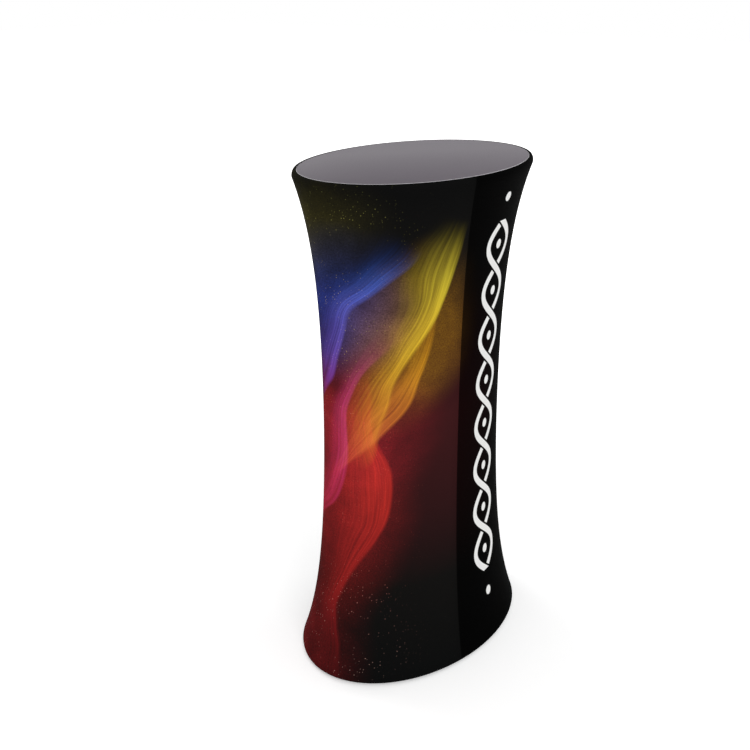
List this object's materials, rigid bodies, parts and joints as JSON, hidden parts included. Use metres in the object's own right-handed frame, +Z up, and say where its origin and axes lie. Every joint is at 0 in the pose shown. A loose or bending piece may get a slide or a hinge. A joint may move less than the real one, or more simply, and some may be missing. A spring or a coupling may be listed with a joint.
{
  "type": "exhibition counter",
  "caption": "Portable oval exhibition counter: printed stretch fabric cover, waisted between two oval boards on plug-together tubes, with a shelf inside, a rear zip and a lift-off grey top.",
  "frame": {"origin": "centre of the oval, on the floor", "axes": "+X along the oval, -Y out of the front, +Y out of the zipped back, +Z up"},
  "size_m": [0.6, 0.403, 1.025],
  "materials": {
    "printed_fabric": "matt stretch polyester with a printed picture",
    "dark_laminate": "satin dark grey laminate",
    "beech": "plain",
    "black_board": "black melamine on fibreboard",
    "grey_shelf": "grey melamine on fibreboard",
    "hook_tape": "hook tape",
    "zip_tape": "woven polyester tape",
    "zip_teeth": "moulded",
    "gunmetal": "dark plated",
    "anodised_tube": "satin anodised",
    "mill_aluminium": "mill finish",
    "black_nylon": "moulded nylon",
    "zinc_screw": "zinc plated",
    "plated_button": "bright plated",
    "spring_steel": "blued",
    "black_rubber": "matt"
  },
  "bodies": {
    "frame": {"fabric_cover": "printed_fabric", "top_board": "black_board", "base_board": "black_board", "shelf": "grey_shelf", "top_hook_band": "hook_tape", "base_hook_band": "hook_tape", "zip_tape_left": "zip_tape", "zip_tape_right": "zip_tape", "zip_chain_left": "zip_teeth", "zip_chain_right": "zip_teeth", "zip_top_stop": "zip_teeth", "zip_bottom_stop": "zip_teeth", "upright_lower_front_left": "anodised_tube", "upright_upper_front_left": "anodised_tube", "spigot_front_left": "mill_aluminium", "base_socket_front_left": "black_nylon", "top_socket_front_left": "black_nylon", "shelf_collar_front_left": "black_nylon", "collar_screw_front_left": "zinc_screw", "snap_spring_front_left": "spring_steel", "foot_front_left": "black_rubber", "upright_lower_front_right": "anodised_tube", "upright_upper_front_right": "anodised_tube", "spigot_front_right": "mill_aluminium", "base_socket_front_right": "black_nylon", "top_socket_front_right": "black_nylon", "shelf_collar_front_right": "black_nylon", "collar_screw_front_right": "zinc_screw", "snap_spring_front_right": "spring_steel", "foot_front_right": "black_rubber", "upright_lower_rear_left": "anodised_tube", "upright_upper_rear_left": "anodised_tube", "spigot_rear_left": "mill_aluminium", "base_socket_rear_left": "black_nylon", "top_socket_rear_left": "black_nylon", "shelf_collar_rear_left": "black_nylon", "collar_screw_rear_left": "zinc_screw", "snap_spring_rear_left": "spring_steel", "foot_rear_left": "black_rubber", "upright_lower_rear_right": "anodised_tube", "upright_upper_rear_right": "anodised_tube", "spigot_rear_right": "mill_aluminium", "base_socket_rear_right": "black_nylon", "top_socket_rear_right": "black_nylon", "shelf_collar_rear_right": "black_nylon", "collar_screw_rear_right": "zinc_screw", "snap_spring_rear_right": "spring_steel", "foot_rear_right": "black_rubber"},
    "tabletop": {"tabletop": "dark_laminate", "tabletop_peg_left": "beech", "tabletop_peg_right": "beech"},
    "zip_slider": {"zip_slider": "gunmetal", "zip_bail": "gunmetal"},
    "pull_tab": {"zip_pull_tab": "gunmetal"},
    "button_front_left": {"snap_button_front_left": "plated_button"},
    "button_front_right": {"snap_button_front_right": "plated_button"},
    "button_rear_left": {"snap_button_rear_left": "plated_button"},
    "button_rear_right": {"snap_button_rear_right": "plated_button"}
  },
  "joints": [
    {"name": "tabletop_lift", "type": "slide", "parent": "frame", "child": "tabletop", "axis": [0, 0, 1], "range_m": [0, 0.05]},
    {"name": "zip_run", "type": "hinge", "parent": "frame", "child": "zip_slider", "pos_m": [0, 4.01998, 0.5132], "axis": [1, 0, 0], "range_deg": [0, 7.65]},
    {"name": "pull_tab_swing", "type": "hinge", "parent": "zip_slider", "child": "pull_tab", "pos_m": [0, 0.16154, 0.7745], "axis": [1, 0, 0], "range_deg": [0, 165]},
    {"name": "button_press_front_left", "type": "slide", "parent": "frame", "child": "button_front_left", "axis": [0, -1, 0], "range_m": [0, 0.0042], "stiffness_N_per_m": 500, "springref_m": -0.003, "deforming": ["snap_spring_front_left"]},
    {"name": "button_press_front_right", "type": "slide", "parent": "frame", "child": "button_front_right", "axis": [0, -1, 0], "range_m": [0, 0.0042], "stiffness_N_per_m": 500, "springref_m": -0.003, "deforming": ["snap_spring_front_right"]},
    {"name": "button_press_rear_left", "type": "slide", "parent": "frame", "child": "button_rear_left", "axis": [0, -1, 0], "range_m": [0, 0.0042], "stiffness_N_per_m": 500, "springref_m": -0.003, "deforming": ["snap_spring_rear_left"]},
    {"name": "button_press_rear_right", "type": "slide", "parent": "frame", "child": "button_rear_right", "axis": [0, -1, 0], "range_m": [0, 0.0042], "stiffness_N_per_m": 500, "springref_m": -0.003, "deforming": ["snap_spring_rear_right"]}
  ]
}
